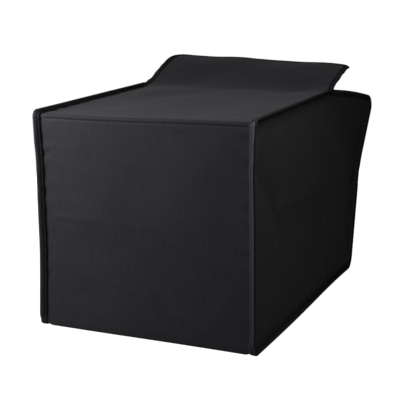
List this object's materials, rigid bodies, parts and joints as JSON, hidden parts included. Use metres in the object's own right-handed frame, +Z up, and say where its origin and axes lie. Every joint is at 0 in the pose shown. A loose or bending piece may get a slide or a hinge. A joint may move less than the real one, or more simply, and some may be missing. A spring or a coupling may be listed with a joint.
{
  "type": "printer enclosure tent",
  "caption": "Box-shaped fabric cover for a desktop printer, sewn from panels with taped seams, open at one end under a lifting roof flap.",
  "frame": {"origin": "middle of the footprint, on the surface the tent stands on", "axes": "+Z up, +Y from the closed end wall towards the open mouth, +X to the right seen from outside the end wall"},
  "size_m": [0.3328, 0.4628, 0.3309],
  "materials": {
    "cloth": "black coated polyester cloth, plain weave, matt with a faint sheen",
    "binding": "black woven binding tape, folded over the edge and stitched"
  },
  "bodies": {
    "shell": {"roof_panel": "cloth", "front_wall": "cloth", "floor_panel": "cloth", "left_side_panel": "cloth", "right_side_panel": "cloth", "left_roof_binding": "binding", "left_front_binding": "binding", "left_floor_binding": "binding", "left_mouth_binding": "binding", "right_roof_binding": "binding", "right_front_binding": "binding", "right_floor_binding": "binding", "right_mouth_binding": "binding", "floor_mouth_binding": "binding"},
    "roof_flap": {"roof_flap": "cloth", "flap_binding": "binding"},
    "left_corner": {"left_corner_flap": "cloth", "left_corner_flap_binding": "binding"},
    "right_corner": {"right_corner_flap": "cloth", "right_corner_flap_binding": "binding"}
  },
  "joints": [
    {"name": "roof_flap_lift", "type": "hinge", "parent": "shell", "child": "roof_flap", "pos_m": [0, 0.05644, 0.292], "axis": [1, 0, 0], "range_deg": [-16, 112]},
    {"name": "left_corner_swing", "type": "hinge", "parent": "shell", "child": "left_corner", "pos_m": [-0.142, 0.05644, 0.292], "axis": [0, -0.7809, 0.6247], "range_deg": [-15, 73]},
    {"name": "right_corner_swing", "type": "hinge", "parent": "shell", "child": "right_corner", "pos_m": [0.142, 0.05644, 0.292], "axis": [0, 0.7809, -0.6247], "range_deg": [-15, 73]}
  ]
}
